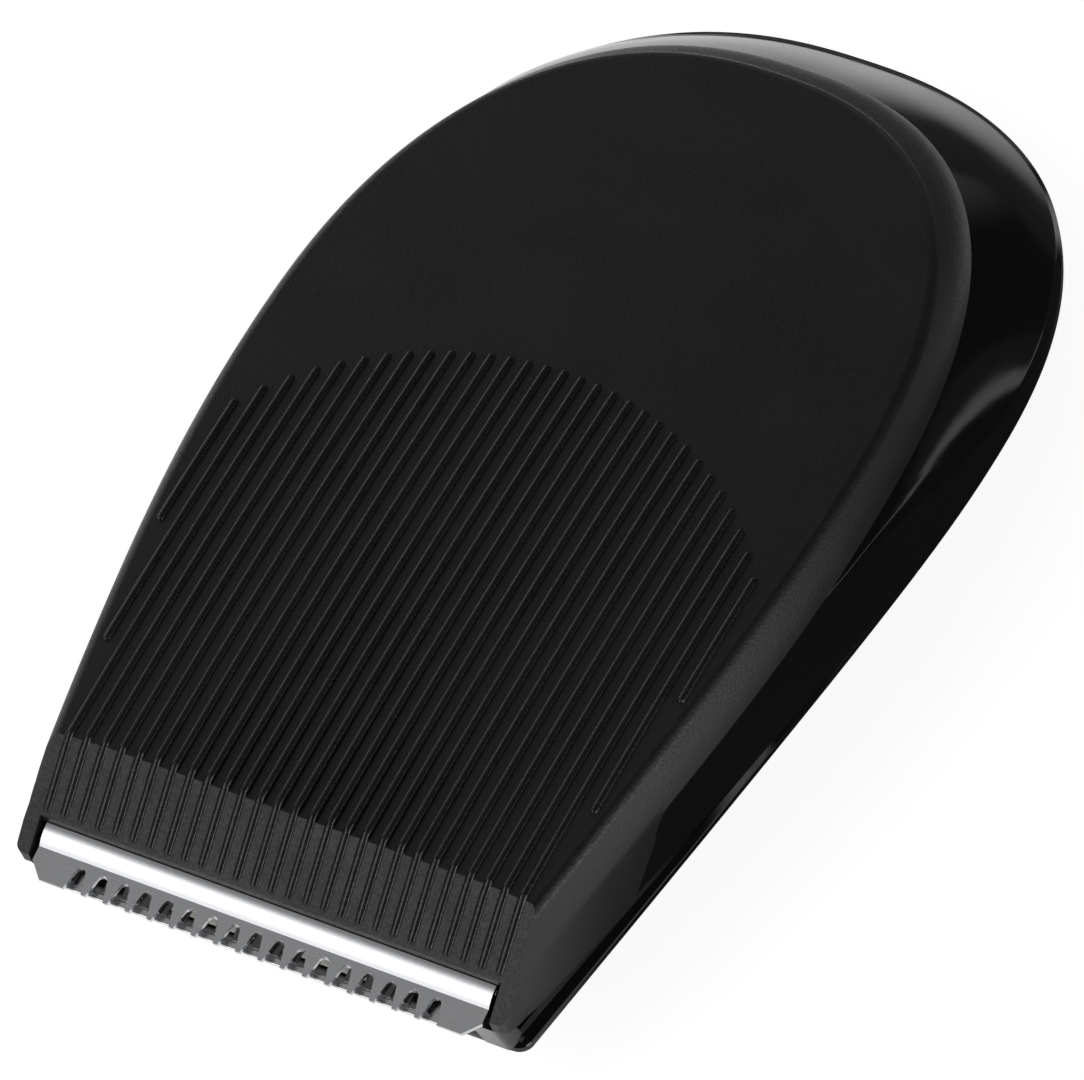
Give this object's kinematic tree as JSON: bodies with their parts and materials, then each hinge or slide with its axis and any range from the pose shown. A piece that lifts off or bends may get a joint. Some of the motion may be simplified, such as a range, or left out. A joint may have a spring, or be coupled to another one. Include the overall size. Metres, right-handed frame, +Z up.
{
  "type": "precision trimmer head",
  "caption": "Click-on precision trimmer head for a rotary shaver: a toothed sliding cutter under a folded steel comb on a flat, drop-shaped body with a drive coupling below.",
  "frame": {"origin": "middle of the bounding box, on the plane of the coupling collar's lower rim", "axes": "-Y towards the cutting teeth, +Z up out of the ribbed cover, X across the head"},
  "size_m": [0.052, 0.0886, 0.0175],
  "materials": {
    "matte_black": "fine matte texture",
    "gloss_black": "high gloss",
    "grey_plastic": "as moulded",
    "white_acetal": "as moulded, waxy",
    "blade_steel": "ground and polished",
    "spring_steel": "bright",
    "bronze": "sintered bronze, satin",
    "seal_rubber": "black, dull"
  },
  "bodies": {
    "housing": {"top_cover": "matte_black", "base_shell": "gloss_black", "coupling_collar": "matte_black", "drive_frame": "grey_plastic", "comb_guard": "blade_steel", "lower_guard_strip": "blade_steel", "cutter_spring": "spring_steel", "lever_pivot_pin": "spring_steel", "lever_clip": "spring_steel", "lever_washer": "spring_steel", "spindle_bush": "bronze", "spindle_washer": "spring_steel", "spindle_seal": "seal_rubber", "collar_screw_1": "spring_steel", "collar_screw_2": "spring_steel", "collar_screw_3": "spring_steel", "frame_screw_1": "spring_steel", "frame_screw_2": "spring_steel", "frame_screw_3": "spring_steel", "frame_screw_4": "spring_steel", "cover_screw_right": "spring_steel", "cover_screw_left": "spring_steel", "cover_screw_tail": "spring_steel", "blade_screw_right": "spring_steel", "blade_screw_left": "spring_steel"},
    "cutter": {"moving_cutter": "blade_steel", "cutter_carrier": "white_acetal"},
    "lever": {"drive_lever": "white_acetal"},
    "spindle": {"drive_spindle": "blade_steel", "drive_coupler": "grey_plastic"}
  },
  "joints": [
    {"name": "spindle_turn", "type": "hinge", "parent": "housing", "child": "spindle", "pos_m": [0, 0.01115, 0.005], "axis": [0, 0, 1], "continuous": true},
    {"name": "lever_swing", "type": "hinge", "parent": "housing", "child": "lever", "pos_m": [0, -0.00885, 0.005], "axis": [0, 0, 1], "range_deg": [-1.86, 1.86]},
    {"name": "cutter_slide", "type": "slide", "parent": "housing", "child": "cutter", "axis": [1, 0, 0], "range_m": [-0.00099, 0.00099]}
  ],
  "couplings": [
    {"joint": "cutter_slide", "follows": "lever_swing", "m_per_rad": 0.0302}
  ]
}
